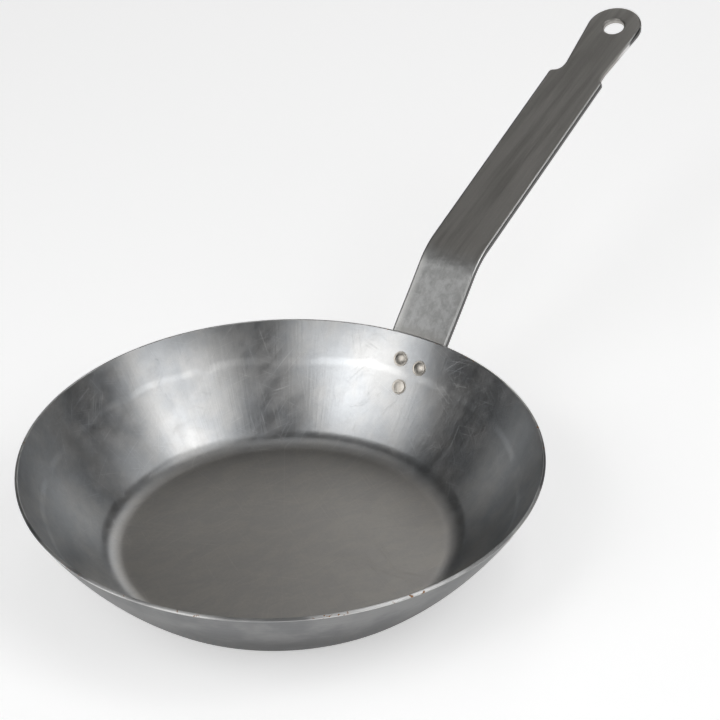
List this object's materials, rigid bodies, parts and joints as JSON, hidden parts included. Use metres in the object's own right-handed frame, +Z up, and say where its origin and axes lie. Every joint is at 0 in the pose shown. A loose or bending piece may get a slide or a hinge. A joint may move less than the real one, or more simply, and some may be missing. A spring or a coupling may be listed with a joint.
{
  "type": "frying pan",
  "caption": "Round carbon steel frying pan with a flat floor, steep flared wall and a bent flat bar handle riveted to the outside, ending in a hanging hole.",
  "frame": {"origin": "centre of the flat underside that the pan rests on", "axes": "+Z up, out of the bowl; +X towards the handle; +Y to the left when looking along the handle from the bowl"},
  "size_m": [0.5175, 0.28, 0.1554],
  "materials": {
    "bowl_steel": "burnished bare carbon steel with fine brushing and scuffs",
    "handle_steel": "dull bare bar steel with softened edges",
    "rivet_steel": "satin, slightly warm"
  },
  "bodies": {
    "root": {"pan_body": "bowl_steel", "handle": "handle_steel", "rivet_upper_left": "rivet_steel", "rivet_upper_right": "rivet_steel", "rivet_lower": "rivet_steel"}
  },
  "joints": []
}
